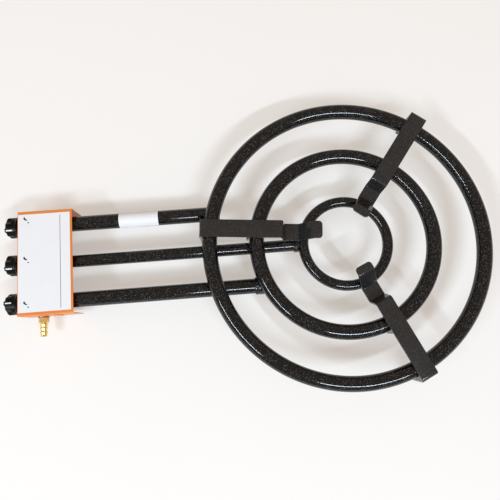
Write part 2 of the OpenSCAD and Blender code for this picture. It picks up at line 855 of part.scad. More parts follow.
module injector(y) {
    color("#c9a04a") at_tap(y) difference() {
        union() {
            translate([0, 0, injector_seat + hole_gap])
                cylinder(h = injector_thread - hole_gap, r = injector_r - fit_gap);
            translate([0, 0, valve_back]) cylinder(h = injector_hex_t, r = hex_r(injector_af), $fn = 6);
            translate([0, 0, valve_back + injector_hex_t])
                cylinder(h = nose_len, r1 = nose_r, r2 = nose_tip_r);
        }
        translate([0, 0, injector_seat])
            cylinder(h = injector_thread + injector_hex_t + nose_len - jet_len, r = nose_tip_r - jet_wall);
        translate([0, 0, injector_seat])
            cylinder(h = injector_thread + injector_hex_t + nose_len + cut, d = orifice_d);
    }
}

// Drawn outwards from its back, with the pointer at the top
module knob_body() {
    body_r = knob_body_d / 2;
    rotate_extrude() polygon([
        [0, 0],
        [knob_d / 2, 0],
        [knob_d / 2, rim_t],
        [body_r, rim_t + rim_flare],
        [body_r, knob_len - knob_edge],
        [body_r - knob_edge, knob_len],
        [0, knob_len]
    ]);
    intersection() {
        translate([-body_r, -knob_rib_w / 2, knob_len / 2])
            cube([2 * body_r, knob_rib_w, knob_len / 2 + knob_rib_h]);
        cylinder(h = knob_len + knob_rib_h, r = body_r);
    }
}

module finger_scoops() {
    for (turn = [60, 120, 240, 300])
        rotate(turn)
            translate([knob_body_d / 2 + scoop_r - scoop_depth, 0, knob_hollow + scoop_floor])
                cylinder(h = knob_len, r = scoop_r);
}

module knob(y, turn) {
    color("#17171a") at_tap(y) translate([0, 0, -knob_gap]) difference() {
        rotate(turn) mirror([0, 0, 1]) difference() {
            knob_body();
            finger_scoops();
            difference() {
                translate([0, 0, -cut]) cylinder(h = knob_hollow + cut, r = knob_body_d / 2 - knob_wall);
                translate([0, 0, hub_back]) cylinder(h = knob_hollow, r = hub_r);
            }
        }
        translate([0, 0, knob_gap])
            spindle_stem(spindle_tip + collar_gap, spindle_r + fit_gap, spindle_flat + fit_gap);
    }
}

module outer_valve_body() { valve_body(outer_feed_y); }
module middle_valve_body() { valve_body(middle_feed_y); }
module inner_valve_body() { valve_body(inner_feed_y); }
module outer_valve_plug() { valve_plug(outer_feed_y); }
module middle_valve_plug() { valve_plug(middle_feed_y); }
module inner_valve_plug() { valve_plug(inner_feed_y); }
module outer_spindle() { spindle(outer_feed_y); }
module middle_spindle() { spindle(middle_feed_y); }
module inner_spindle() { spindle(inner_feed_y); }
module outer_spring() { spring(outer_feed_y); }
module middle_spring() { spring(middle_feed_y); }
module inner_spring() { spring(inner_feed_y); }
module outer_gland() { gland(outer_feed_y); }
module middle_gland() { gland(middle_feed_y); }
module inner_gland() { gland(inner_feed_y); }
module outer_panel_nut() { panel_nut(outer_feed_y); }
module middle_panel_nut() { panel_nut(middle_feed_y); }
module inner_panel_nut() { panel_nut(inner_feed_y); }
module outer_injector() { injector(outer_feed_y); }
module middle_injector() { injector(middle_feed_y); }
module inner_injector() { injector(inner_feed_y); }
module outer_knob() { knob(outer_feed_y, outer_knob_turn); }
module middle_knob() { knob(middle_feed_y, middle_knob_turn); }
module inner_knob() { knob(inner_feed_y, inner_knob_turn); }

from_origin() outer_ring();
from_origin() middle_ring();
from_origin() inner_ring();
from_origin() outer_feed_tube();
from_origin() middle_feed_tube();
from_origin() inner_feed_tube();
from_origin() outer_tube_cap();
from_origin() middle_tube_cap();
from_origin() inner_tube_cap();
from_origin() outer_weld();
from_origin() middle_weld();
from_origin() inner_weld();
from_origin() near_arm();
from_origin() far_left_arm();
from_origin() far_right_arm();
from_origin() near_ring_stop();
from_origin() far_left_ring_stop();
from_origin() far_right_ring_stop();
from_origin() box_cover();
from_origin() top_plate();
from_origin() tube_sticker();
from_origin() tube_bracket();
from_origin() bracket_screws();
from_origin() gas_rail();
from_origin() rail_plug();
from_origin() hose_nozzle();
from_origin() nozzle_washer();
from_origin() outer_valve_body();
from_origin() middle_valve_body();
from_origin() inner_valve_body();
from_origin() outer_valve_plug();
from_origin() middle_valve_plug();
from_origin() inner_valve_plug();
from_origin() outer_spindle();
from_origin() middle_spindle();
from_origin() inner_spindle();
from_origin() outer_spring();
from_origin() middle_spring();
from_origin() inner_spring();
from_origin() outer_gland();
from_origin() middle_gland();
from_origin() inner_gland();
from_origin() outer_panel_nut();
from_origin() middle_panel_nut();
from_origin() inner_panel_nut();
from_origin() outer_injector();
from_origin() middle_injector();
from_origin() inner_injector();
from_origin() outer_knob();
from_origin() middle_knob();
from_origin() inner_knob();
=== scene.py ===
"""Looks of a gas burner with concentric rings, built around its packed solids.

The burner lies with its control box towards -X and its rings towards +X. Lengths are in metres,
in the frame of the packed part, whose nodes give most of the places used here.
"""

import json
import math

import bpy
import numpy as np
from bpy.props import FloatProperty, FloatVectorProperty, IntProperty, PointerProperty
from mathutils import Matrix, Vector


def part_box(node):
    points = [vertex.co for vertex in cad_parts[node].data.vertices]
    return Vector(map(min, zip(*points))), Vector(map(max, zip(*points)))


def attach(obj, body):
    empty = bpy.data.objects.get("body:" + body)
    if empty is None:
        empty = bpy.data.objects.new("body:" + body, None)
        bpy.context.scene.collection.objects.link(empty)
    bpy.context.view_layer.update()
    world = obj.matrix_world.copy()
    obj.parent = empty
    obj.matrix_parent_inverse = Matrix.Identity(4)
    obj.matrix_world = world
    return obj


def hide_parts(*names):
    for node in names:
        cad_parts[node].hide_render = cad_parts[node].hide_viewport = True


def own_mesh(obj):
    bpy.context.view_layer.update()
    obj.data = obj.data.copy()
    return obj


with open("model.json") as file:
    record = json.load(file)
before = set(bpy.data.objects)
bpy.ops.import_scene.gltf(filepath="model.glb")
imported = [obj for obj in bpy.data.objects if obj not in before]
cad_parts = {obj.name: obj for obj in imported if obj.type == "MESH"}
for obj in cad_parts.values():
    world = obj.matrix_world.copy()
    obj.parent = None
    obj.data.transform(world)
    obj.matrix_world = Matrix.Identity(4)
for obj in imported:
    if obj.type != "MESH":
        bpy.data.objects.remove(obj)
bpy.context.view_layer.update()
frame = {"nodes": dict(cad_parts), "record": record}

bl_info = {
    "name": "Ring burner looks",
    "version": (1, 0, 0),
    "blender": (4, 5, 0),
    "location": "View3D > Sidebar > Burner",
    "description": "Builds the visible pieces of a gas burner around its packed frame",
    "category": "Object",
}

MM = 0.001
FRAME_BODY = "burner_frame"
FINISH_PREFIX = "burner_"
TAPS = ("outer", "inner", "middle")

# Each arm's node, its direction in degrees, its shift to the left and its leg's room to the outer ring
ARMS = (
    ("near_arm", 175.0, -16.5 * MM, 0.3 * MM),
    ("far_left_arm", 53.0, 9.0 * MM, 7.3 * MM),
    ("far_right_arm", 295.0, -5.0 * MM, 4.3 * MM),
)
# Each window's name, its direction from the burner, and its width and height
WINDOWS = (
    ("wide_window", (0.22, -0.56, 0.79), (2.45, 0.24)),
    ("side_window", (-0.60, -0.41, 0.69), (2.4, 0.22)),
)
# Directions of a knob's finger scoops from its pointer line, in degrees
SCOOPS = (60, 120, 240, 300)

# A flame port is a patch of cells in nested squares. Counted from the middle, each square is drawn
# into a circle of this many port radii and sunk by this share of the port's depth. The last one is
# the patch's edge and stays square.
PORT_CELLS = 4
PORT_CIRCLES = np.array([0.0, 0.75, 1.0, 1.5, 0.0])
PORT_SINK = np.array([1.0, 1.0, 0.06, 0.0, 0.0])

# Points along small arcs and marks
QUARTER_POINTS = 5
TAB_POINTS = 9
MARK_POINTS = 9
LINE_POINTS = 12
FLOOR_POINTS = 9
BEND_STEPS = 8

# Radius at which a turned surface is closed on its axis, and half the width of a dot's closed ends
POLE = 0.02 * MM
HAIR = 0.001 * MM

# Faces that meet at more than these angles keep a sharp edge
SHARP = math.radians(50)
SHARP_TUBE = math.radians(35)
SHARP_KNOB = math.radians(60)
SHARP_PRINT = math.radians(40)

# Most values of a noise lie between these
NOISE_LOW, NOISE_HIGH = 0.3, 0.7
# Share of a speck's reach, and of the cells that have one, with the speck's full colour
SPECK_CORE = 0.55
# Share of a knob's front radius within which its rows of faces are wider
FRONT_CORE = 0.8
# Width of the camera's sensor in millimetres
SENSOR_WIDTH = 36.0


def middle(node):
    """The middle of a node's box at rest."""
    low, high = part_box(node)
    return (low + high) / 2


def half_size(node):
    """Half of a node's box along each axis."""
    low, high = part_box(node)
    return (high - low) / 2


def length(name, description, default):
    """A length in metres that a user may change."""
    return FloatProperty(name=name, description=description, default=default, min=0.0,
                         unit="LENGTH", precision=5)


def lengths(name, description, default):
    """A few signed lengths in metres that belong together."""
    return FloatVectorProperty(name=name, description=description, default=default,
                               size=len(default), unit="LENGTH", precision=5)


def angle(name, description, degrees):
    """An angle, given in degrees."""
    return FloatProperty(name=name, description=description, default=math.radians(degrees),
                         subtype="ANGLE")


def count(name, description, default, least):
    """A number of faces, rows or turns."""
    return IntProperty(name=name, description=description, default=default, min=least)


def colour(name, description, default):
    """A colour in linear light that a user may change."""
    return FloatVectorProperty(name=name, description=description, default=default, size=3,
                               min=0.0, max=1.0, subtype="COLOR")


def direction(name, description, default):
    """A direction in the part's frame."""
    return FloatVectorProperty(name=name, description=description, default=default, size=3,
                               subtype="DIRECTION", precision=4)


def power(name, description, default):
    """The power of a lamp in watts."""
    return FloatProperty(name=name, description=description, default=default, min=0.0, unit="POWER")


# Settings


class FinishSettings(bpy.types.PropertyGroup):
    """Colours of the burner's finishes."""

    enamel: colour("Enamel", "Glossy black of rings and tubes", (0.0020, 0.0026, 0.0034))
    speckle: colour("Speckle", "Pale dots in the enamel", (0.25, 0.245, 0.245))
    arm_paint: colour("Arm paint", "Satin charcoal of the arms", (0.0142, 0.0138, 0.0140))
    cover_paint: colour("Cover paint", "Orange of the control box", (0.82, 0.235, 0.035))
    cover_pale: colour("Pale cover paint", "Orange of the paler patches", (1.0, 0.42, 0.14))
    label_film: colour("Label film", "White of the plate and the sticker", (0.92, 0.905, 0.915))
    brass: colour("Brass", "Nozzle and tap brass", (0.93, 0.68, 0.24))
    zinc: colour("Zinc", "Plated steel inside the box", (0.52, 0.53, 0.54))
    knob: colour("Knob", "Moulded black plastic", (0.0025, 0.0023, 0.0023))
    mark: colour("Mark", "Printed black of the plate's marks", (0.012, 0.012, 0.014))
    pointer: colour("Pointer", "White line on each knob", (0.88, 0.88, 0.86))
    fibre: colour("Fibre", "Red sealing washer", (0.28, 0.06, 0.035))


class RingSettings(bpy.types.PropertyGroup):
    """Flame ports of the burner rings."""

    port_pitch: length("Port pitch", "Spacing of the flame ports along a ring", 6.5 * MM)
    port_radius: length("Port radius", "Radius of a flame port", 0.95 * MM)
    port_depth: length("Port depth", "Visible depth of a flame port", 1.3 * MM)
    port_tilt: angle("Port tilt", "Lean of the ports towards the middle", 45)
    port_patch: length("Port patch", "Half width of the fine strip along the ports", 2.6 * MM)
    rows: count("Rows", "Rows round the rest of the tube", 30, 12)


class TubeSettings(bpy.types.PropertyGroup):
    """Feed tubes."""

    wall: length("Wall", "Wall thickness of the feed tubes", 1.5 * MM)
    edge: length("Edge", "Rounding of the tube ends", 0.8 * MM)
    sides: count("Sides", "Faces round a tube", 72, 24)


class ArmSettings(bpy.types.PropertyGroup):
    """Flat-bar arms."""

    width: length("Width", "Width of the bar", 30 * MM)
    thickness: length("Thickness", "Thickness of the bar", 4 * MM)
    edge: length("Edge", "Rounding of the bar's long edges", 0.7 * MM)
    gap: length("Gap", "Clearance to the rings", 0.3 * MM)
    dip_depth: length("Dip depth", "Depth of the step beside the inner ring", 26 * MM)
    dip_floor: length("Dip floor", "Length of the step's floor", 22.5 * MM)
    tab: length("Tab", "Length of the flat tab at the inner end", 14 * MM)
    tab_corner: length("Tab corner", "Corner radius of the tab", 6 * MM)
    leg_bend: length("Leg bend", "Mid-plane radius of the bend into the leg", 5 * MM)
    step_bend: length("Step bend", "Mid-plane radius of the other bends", 3.2 * MM)
    climb: angle("Climb", "Slope over the inner ring", 48)
    drop: angle("Drop", "Slope off the long flat", 75)


class KnobSettings(bpy.types.PropertyGroup):
    """Control knobs."""

    rim_radius: length("Rim radius", "Radius of the flared rim", 20 * MM)
    rim_edge: length("Rim edge", "Slope at the back edge of the rim", 0.4 * MM)
    rim_height: length("Rim height", "Height of the rim's straight side", 1 * MM)
    flare: length("Flare", "How far the flare stands out of the body half-way up", 0.9 * MM)
    flare_height: length("Flare height", "Height of the flare's middle", 2.2 * MM)
    flare_end: length("Flare end", "Height at which the flare meets the body", 3.6 * MM)
    body_radius: length("Body radius", "Radius of the body", 18.0 * MM)
    depth: length("Depth", "Length without the rib", 19.8 * MM)
    edge: length("Edge", "Width of the sloped front edge", 1.5 * MM)
    hollow: length("Hollow", "Depth of the hollow in the back", 9 * MM)
    hollow_edge: length("Hollow edge", "Slope at the mouth of the hollow", 0.3 * MM)
    wall: length("Wall", "Wall round the hollow", 2.5 * MM)
    rib: length("Rib", "Height of the rib across the front", 1 * MM)
    rib_width: length("Rib width", "Width of the rib", 7 * MM)
    rib_rise: length("Rib rise", "Width of the rib's soft sides", 0.8 * MM)
    scoop: length("Scoop", "Depth of a finger scoop", 3 * MM)
    scoop_radius: length("Scoop radius", "Radius of a finger scoop", 14 * MM)
    scoop_back: length("Scoop back", "Where the scoops end, from the knob's back", 10.5 * MM)
    scoop_rise: length("Scoop rise", "Length over which a scoop fades out at its end", 1.6 * MM)
    scoop_blend: length("Scoop blend", "Softness of a scoop's sides", 0.35 * MM)
    line_length: length("Line length", "Reach of the white pointer line, from the front", 12.5 * MM)
    line_start: length("Line start", "Where the pointer line begins, from the front", 2.2 * MM)
    line_width: length("Line width", "Width of the white pointer line", 2.2 * MM)
    line_sink: length("Line sink", "How deep the pointer line sits in the body", 0.3 * MM)
    line_proud: length("Line proud", "How far the pointer line stands out of the body", 0.1 * MM)
    sides: count("Sides", "Faces round a knob", 216, 48)
    turns: FloatVectorProperty(name="Turns", size=3, subtype="EULER",
                               description="Pointer angle of the outer, inner and middle knob",
                               default=(math.radians(25), math.radians(25), math.radians(-4)))


class SpringSettings(bpy.types.PropertyGroup):
    """Return springs inside the taps."""

    wire: length("Wire", "Wire diameter", 0.8 * MM)
    turns: count("Turns", "Turns of the wire", 4, 2)
    steps: count("Steps", "Points along each turn", 36, 12)
    sides: count("Sides", "Faces round the wire", 10, 6)


class PlateSettings(bpy.types.PropertyGroup):
    """Plain marks on the box's top plate."""

    raise_by: length("Raise", "Thickness of the printed marks", 0.06 * MM)
    mark_places: lengths("Mark places", "Where the marks of the three taps stand along the plate",
                         (73.6 * MM, 5.0 * MM, -70.1 * MM))
    dot_radius: length("Dot radius", "Radius of the off mark", 1.2 * MM)
    dot_front: length("Dot place", "Distance of the off marks from the panel", 18.5 * MM)
    stroke_start: lengths("Stroke start", "Wide end of the flame mark, from the off mark",
                          (-6.6 * MM, 9.0 * MM))
    stroke_run: lengths("Stroke run", "Narrow end of the flame mark, from its wide end",
                        (5.4 * MM, -4.6 * MM))
    stroke_bow: length("Stroke bow", "How far the flame mark bends sideways", 1.2 * MM)
    stroke_wide: length("Stroke wide", "Half width of the flame mark's wide end", 1.7 * MM)
    stroke_narrow: length("Stroke narrow", "Half width of the flame mark's narrow end", 0.5 * MM)
    line_front: length("Line place", "Distance of the long line from the panel", 71.6 * MM)
    line_width: length("Line width", "Width of the long line", 0.75 * MM)
    line_inset: length("Line inset", "Distance of the long line's ends from the plate's edges", 4 * MM)


class StageSettings(bpy.types.PropertyGroup):
    """Floor, light and camera."""

    floor: colour("Floor", "Colour of the pale floor", (0.98, 0.96, 0.94))
    floor_reach: length("Floor reach", "Half the side of the floor", 25.0)
    floor_drop: length("Floor drop", "How far the floor lies under the feet", 0.2 * MM)
    glow: colour("Glow", "Even white of the floor that the shadows lie on", (1.0, 0.95, 0.90))
    glow_share: FloatProperty(name="Glow share", description="Share of the even white",
                              default=0.42, subtype="FACTOR")
    sky: colour("Sky", "Warm soft light from all round", (1.0, 0.81, 0.645))
    sky_strength: FloatProperty(name="Sky strength", description="Level of the soft light",
                                default=0.42, min=0.0)
    window: colour("Window", "Light of the two windows", (0.735, 0.872, 1.0))
    wide_power: power("Wide power", "Power of the wide window", 127.0)
    side_power: power("Side power", "Power of the side window", 119.0)
    window_distance: length("Window distance", "Distance of the windows from their target", 5.0)
    window_target: lengths("Window target", "Point that the windows face", (0.1, 0.0, 0.0))
    camera_place: lengths("Camera place", "Where the camera stands",
                          (-34.61 * MM, -138.05 * MM, 859.6 * MM))
    camera_ahead: direction("Camera ahead", "Where the camera looks", (0.0410, 0.1691, -0.9847))
    camera_right: direction("Camera right", "Right side of the picture", (0.9964, -0.0797, 0.0277))
    lens: FloatProperty(name="Lens", description="Focal length", default=33.9, unit="CAMERA")


# Surfaces


def smooth_step(x):
    """0 below 0, 1 above 1 and 3x^2 - 2x^3 between."""
    x = np.clip(x, 0.0, 1.0)
    return x * x * (3 - 2 * x)


def signed_volume(points, quads):
    """Sum over each quad's two triangles of a . (b x c) / 6: positive where faces point outwards."""
    a, b, c, d = (points[quads[:, i]] for i in range(4))
    return (np.einsum("ij,ij", a, np.cross(b, c)) + np.einsum("ij,ij", a, np.cross(c, d))) / 6


def skin(grid, wrap_rows=False, wrap_columns=True, capped=False):
    """Points, quads and end faces over a grid of points. Rows and columns can close on themselves, and
    the first and last row of a tube can be closed by one face each. Faces are turned outwards."""
    rows, columns = grid.shape[:2]
    index = np.arange(rows * columns).reshape(rows, columns)
    ends = [index[0], index[-1, ::-1]] if capped else []
    if wrap_rows:
        index = np.concatenate([index, index[:1]], axis=0)
    if wrap_columns:
        index = np.concatenate([index, index[:, :1]], axis=1)
    quads = np.stack([index[:-1, :-1], index[1:, :-1], index[1:, 1:], index[:-1, 1:]], axis=-1)
    quads = quads.reshape(-1, 4)
    points = grid.reshape(-1, 3)
    if signed_volume(points - points.mean(axis=0), quads) < 0:
        quads, ends = quads[:, ::-1], [end[::-1] for end in ends]
    return points, quads, ends


def piece_of(name, skins, sharp=None):
    """One smooth-shaded object from one or more skins."""
    starts = np.cumsum([0] + [len(points) for points, _, _ in skins])
    faces = []
    for start, (_, quads, ends) in zip(starts, skins):
        faces += (quads + start).tolist() + [(end + start).tolist() for end in ends]
    mesh = bpy.data.meshes.new(name)
    mesh.from_pydata(np.concatenate([points for points, _, _ in skins]).tolist(), [], faces)
    mesh.shade_smooth()
    if sharp:
        mesh.set_sharp_from_angle(angle=sharp)
    piece = bpy.data.objects.new(name, mesh)
    bpy.context.scene.collection.objects.link(piece)
    return piece


def ring_with_ports(name, centre, ring_radius, tube_radius, settings):
    """A torus with a row of flame ports. At turn u and lean v, measured from straight up towards the
    middle, a point stands ring_radius - r sin v from the axis and r cos v above the centre, where r is
    tube_radius less the port's depth. Each port is a patch of cells whose inner squares are drawn into
    circles round the port, the innermost two at the port's depth."""
    row_radius = ring_radius - tube_radius * math.sin(settings.port_tilt)
    ports = int(2 * math.pi * row_radius / settings.port_pitch)
    half_pitch = math.pi * row_radius / ports
    n = PORT_CELLS
    i, j = np.meshgrid(np.arange(-n, n), np.arange(-n, n + 1), indexing="ij")
    square = np.maximum(abs(i), abs(j))
    wide = abs(i) >= abs(j)
    safe_i, safe_j = np.where(i == 0, 1, i), np.where(j == 0, 1, j)
    around = np.where(wide, math.pi / 4 * j / safe_i + np.where(i < 0, math.pi, 0.0),
                      math.pi / 2 - math.pi / 4 * i / safe_j + np.where(j < 0, math.pi, 0.0))
    circle = settings.port_radius * PORT_CIRCLES[square]
    sunk = settings.port_depth * PORT_SINK[square]
    along = np.where(square < n, circle * np.cos(around), i / n * half_pitch)
    across = np.where(square < n, circle * np.sin(around), j / n * settings.port_patch)

    start = (np.arange(ports) + 0.5)[:, None, None] * 2 * math.pi / ports
    u = (start + along / row_radius).reshape(ports * 2 * n, 2 * n + 1)
    v = np.tile(settings.port_tilt + across / tube_radius, (ports, 1))
    depth = np.tile(sunk, (ports, 1))
    edge = settings.port_patch / tube_radius
    rest = np.linspace(settings.port_tilt + edge, settings.port_tilt - edge + 2 * math.pi,
                       settings.rows + 2)[1:-1]
    u = np.concatenate([u, np.repeat(u[:, :1], settings.rows, axis=1)], axis=1)
    v = np.concatenate([v, np.tile(rest, (len(v), 1))], axis=1)
    depth = np.concatenate([depth, np.zeros((len(depth), settings.rows))], axis=1)

    r = tube_radius - depth
    reach = ring_radius - r * np.sin(v)
    grid = np.stack([reach * np.cos(u), reach * np.sin(u), r * np.cos(v)], axis=-1)
    return piece_of(name, [skin(grid + np.array(centre), wrap_rows=True)], SHARP)


def turned_x(name, profile, y, z, sides):
    """A solid turned about a line along X: profile rows of (x, radius) carried round a circle."""
    profile = np.array(profile)
    turn = np.linspace(0, 2 * math.pi, sides, endpoint=False)
    x = np.repeat(profile[:, :1], sides, axis=1)
    grid = np.stack([x, y + profile[:, 1:] * np.cos(turn), z + profile[:, 1:] * np.sin(turn)], axis=-1)
    return piece_of(name, [skin(grid, capped=True)], SHARP_TUBE)


def coil_x(name, low, high, centre, coil_radius, settings):
    """A helix of round wire along X. At share t of its length the wire's middle is at the turn
    2 pi turns t, coil_radius from the axis, and its round section lies in the plane through the axis."""
    wire_radius = settings.wire / 2
    t = np.linspace(0, 1, settings.turns * settings.steps + 1)[:, None]
    turn = 2 * math.pi * settings.turns * t
    section = np.linspace(0, 2 * math.pi, settings.sides, endpoint=False)
    reach = coil_radius + wire_radius * np.cos(section)
    x = low + (high - low) * t + wire_radius * np.sin(section)
    grid = np.stack([x, centre.y + reach * np.cos(turn), centre.z + reach * np.sin(turn)], axis=-1)
    return piece_of(name, [skin(grid, capped=True)], SHARP)


def rounded_path(corners, radii):
    """A path through 2D corners, each replaced by an arc of its radius that touches both sides. With a
    and b from the arc's centre to its ends, it is centre + (a sin(sweep - t) + b sin t) / sin(sweep),
    for t from 0 to sweep."""
    corners = np.array(corners)
    path = [corners[:1]]
    for before, corner, after, radius in zip(corners, corners[1:], corners[2:], radii):
        back = (before - corner) / np.linalg.norm(before - corner)
        ahead = (after - corner) / np.linalg.norm(after - corner)
        half = math.acos(np.clip(back @ ahead, -1, 1)) / 2
        bisector = (back + ahead) / np.linalg.norm(back + ahead)
        centre = corner + bisector * radius / math.sin(half)
        a = corner + back * radius / math.tan(half) - centre
        b = corner + ahead * radius / math.tan(half) - centre
        sweep = math.pi - 2 * half
        t = np.linspace(0, 1, BEND_STEPS + 1)[:, None] * sweep
        path.append(centre + (a * np.sin(sweep - t) + b * np.sin(t)) / math.sin(sweep))
    path.append(corners[-1:])
    return np.concatenate(path)


def flat_bar(name, path, half_width, half_thickness, edge, place):
    """A flat bar: a rectangle with rounded corners carried along a path in a side view. half_width
    is given for each point of the path, and place turns side, left and up lengths into positions."""
    step = np.gradient(path, axis=0)
    tangent = step / np.linalg.norm(step, axis=1, keepdims=True)
    normal = np.stack([-tangent[:, 1], tangent[:, 0]], axis=1)
    quarter = np.linspace(0, math.pi / 2, QUARTER_POINTS)
    bend = np.concatenate([quarter + k * math.pi / 2 for k in range(4)])
    side = np.repeat([1, -1, -1, 1], QUARTER_POINTS)
    face = np.repeat([1, 1, -1, -1], QUARTER_POINTS)
    left = side * (half_width[:, None] - edge) + edge * np.cos(bend)
    out = face * (half_thickness - edge) + edge * np.sin(bend)
    along = path[:, None, 0] + normal[:, None, 0] * out
    up = path[:, None, 1] + normal[:, None, 1] * out
    return piece_of(name, [skin(place(along, left, up), capped=True)], SHARP)


def thin_patch(left, right, low, high):
    """The skin of a thin plate between a left and a right edge in plan, closed round at two heights."""
    corners = ((left, low), (right, low), (right, high), (left, high))
    grid = np.stack([np.insert(edge, 2, z, axis=1) for edge, z in corners], axis=1)
    return skin(grid, capped=True)


# Finishes


def shade(base, factor, lift=0.0):
    """A colour made darker or paler by a factor, and lifted by a little white."""
    return tuple(factor * c + lift for c in base)


class Finish:
    """A procedural material on Object coordinates, built up by short calls."""

    def __init__(self, name, base, roughness, metallic=0.0, specular=0.5):
        self.material = bpy.data.materials.new(FINISH_PREFIX + name)
        self.material.use_nodes = True
        self.tree = self.material.node_tree
        self.shader = self.tree.nodes["Principled BSDF"]
        self.base = (*base, 1.0)
        self.shader.inputs["Base Color"].default_value = self.base
        self.shader.inputs["Roughness"].default_value = roughness
        self.shader.inputs["Metallic"].default_value = metallic
        self.shader.inputs["Specular IOR Level"].default_value = specular
        self.place = self.tree.nodes.new("ShaderNodeTexCoord").outputs["Object"]

    def node(self, kind, **inputs):
        """A new node with some of its sockets set."""
        made = self.tree.nodes.new("ShaderNode" + kind)
        for name, value in inputs.items():
            made.inputs[name.replace("_", " ")].default_value = value
        return made

    def link(self, out, socket):
        """Joins an output to an input."""
        self.tree.links.new(out, socket)

    def stretched(self, scale):
        """Object coordinates scaled by axis."""
        mapping = self.node("Mapping", Scale=scale)
        self.link(self.place, mapping.inputs["Vector"])
        return mapping.outputs["Vector"]

    def noise(self, scale, detail=3.0, place=None):
        """Soft noise, scale waves to the metre."""
        made = self.node("TexNoise", Scale=scale, Detail=detail)
        self.link(place or self.place, made.inputs["Vector"])
        return made.outputs["Fac"]

    def ranged(self, value, low, high, to_low, to_high):
        """A value carried from one span to another and kept within it."""
        made = self.node("MapRange", From_Min=low, From_Max=high, To_Min=to_low, To_Max=to_high)
        self.link(value, made.inputs["Value"])
        return made.outputs["Result"]

    def combined(self, operation, a, b):
        """Two values put together by one operation."""
        made = self.node("Math")
        made.operation = operation
        self.link(a, made.inputs[0])
        self.link(b, made.inputs[1])
        return made.outputs["Value"]

    def tint(self, share, second):
        """Mixes the present base colour with a second one by a share."""
        mix = self.tree.nodes.new("ShaderNodeMix")
        mix.data_type = "RGBA"
        sockets = {s.identifier: s for s in mix.inputs}
        present = self.shader.inputs["Base Color"]
        if present.is_linked:
            self.link(present.links[0].from_socket, sockets["A_Color"])
        else:
            sockets["A_Color"].default_value = self.base
        sockets["B_Color"].default_value = (*second, 1.0)
        self.link(share, sockets["Factor_Float"])
        result = {s.identifier: s for s in mix.outputs}["Result_Color"]
        self.link(result, present)

    def patches(self, value, low, high, share, second):
        """Blends in a second colour where a noise rises from low to high, up to a share."""
        self.tint(self.ranged(value, low, high, 0.0, share), second)

    def specks(self, cell, reach, share, second):
        """Dots of a second colour: a share of the cells have a dot that reaches this part of a cell."""
        cells = self.node("TexVoronoi", Scale=1 / cell)
        self.link(self.place, cells.inputs["Vector"])
        split = self.node("SeparateColor")
        self.link(cells.outputs["Color"], split.inputs["Color"])
        near = self.ranged(cells.outputs["Distance"], reach * SPECK_CORE, reach, 1.0, 0.0)
        chosen = self.ranged(split.outputs["Red"], 1 - share, 1 - share * SPECK_CORE, 0.0, 1.0)
        self.tint(self.combined("MULTIPLY", near, chosen), second)

    def coat(self, weight, roughness):
        """A thin clear glaze over the base."""
        self.shader.inputs["Coat Weight"].default_value = weight
        self.shader.inputs["Coat Roughness"].default_value = roughness

    def rough(self, value, low, high):
        """Roughness from low to high, by a noise."""
        result = self.ranged(value, NOISE_LOW, NOISE_HIGH, low, high)
        self.link(result, self.shader.inputs["Roughness"])

    def bump(self, height, distance, strength):
        """Small unevenness of the surface, by a noise."""
        made = self.node("Bump", Strength=strength, Distance=distance)
        self.link(height, made.inputs["Height"])
        self.link(made.outputs["Normal"], self.shader.inputs["Normal"])

    def glow(self, light, share):
        """Adds an even light of its own, as cameras and shiny faces see the surface."""
        path = self.node("LightPath")
        seen = path.outputs["Is Camera Ray"]
        for ray in ("Is Glossy Ray", "Is Transmission Ray"):
            seen = self.combined("MAXIMUM", seen, path.outputs[ray])
        part = self.ranged(seen, 0.0, 1.0, 0.0, share)
        even = self.node("Emission", Color=(*light, 1.0), Strength=1.0)
        mix = self.node("MixShader")
        self.link(part, mix.inputs[0])
        self.link(self.shader.outputs["BSDF"], mix.inputs[1])
        self.link(even.outputs["Emission"], mix.inputs[2])
        self.link(mix.outputs["Shader"], self.tree.nodes["Material Output"].inputs["Surface"])


def enamel_finish(s):
    """Glossy black enamel: pale specks, a faint orange peel and uneven gloss."""
    f = Finish("black_enamel", s.enamel, roughness=0.14)
    f.specks(cell=1.35 * MM, reach=0.38, share=0.32, second=s.speckle)
    f.rough(f.noise(60.0), low=0.06, high=0.11)
    f.bump(f.noise(420.0, detail=2.0), distance=0.06 * MM, strength=0.4)
    return f.material


def weld_finish(s):
    """The same enamel over a weld: lumps and ripples of the bead show through."""
    f = Finish("weld_enamel", s.enamel, roughness=0.1)
    f.specks(cell=1.35 * MM, reach=0.38, share=0.32, second=s.speckle)
    f.rough(f.noise(90.0), low=0.08, high=0.16)
    f.bump(f.noise(240.0, detail=1.0), distance=1.6 * MM, strength=0.8)
    return f.material


def arm_finish(s):
    """Satin charcoal enamel with a fine sandy grain, a few small specks and a thin glaze."""
    f = Finish("arm_paint", s.arm_paint, roughness=0.5, specular=0.2)
    f.coat(weight=0.8, roughness=0.045)
    f.patches(f.noise(38.0), low=0.35, high=0.7, share=0.55, second=shade(s.arm_paint, 1.5))
    f.specks(cell=1.6 * MM, reach=0.42, share=0.45, second=shade(s.speckle, 0.3))
    f.rough(f.noise(90.0), low=0.24, high=0.36)
    f.bump(f.noise(1100.0, detail=2.0), distance=0.16 * MM, strength=0.55)
    return f.material


def cover_finish(s):
    """Satin orange paint on sheet steel, a little paler in patches."""
    f = Finish("orange_paint", s.cover_paint, roughness=0.4)
    f.patches(f.noise(22.0), low=0.4, high=0.75, share=0.18, second=s.cover_pale)
    f.rough(f.noise(70.0), low=0.34, high=0.46)
    f.bump(f.noise(600.0, detail=2.0), distance=0.06 * MM, strength=0.4)
    return f.material


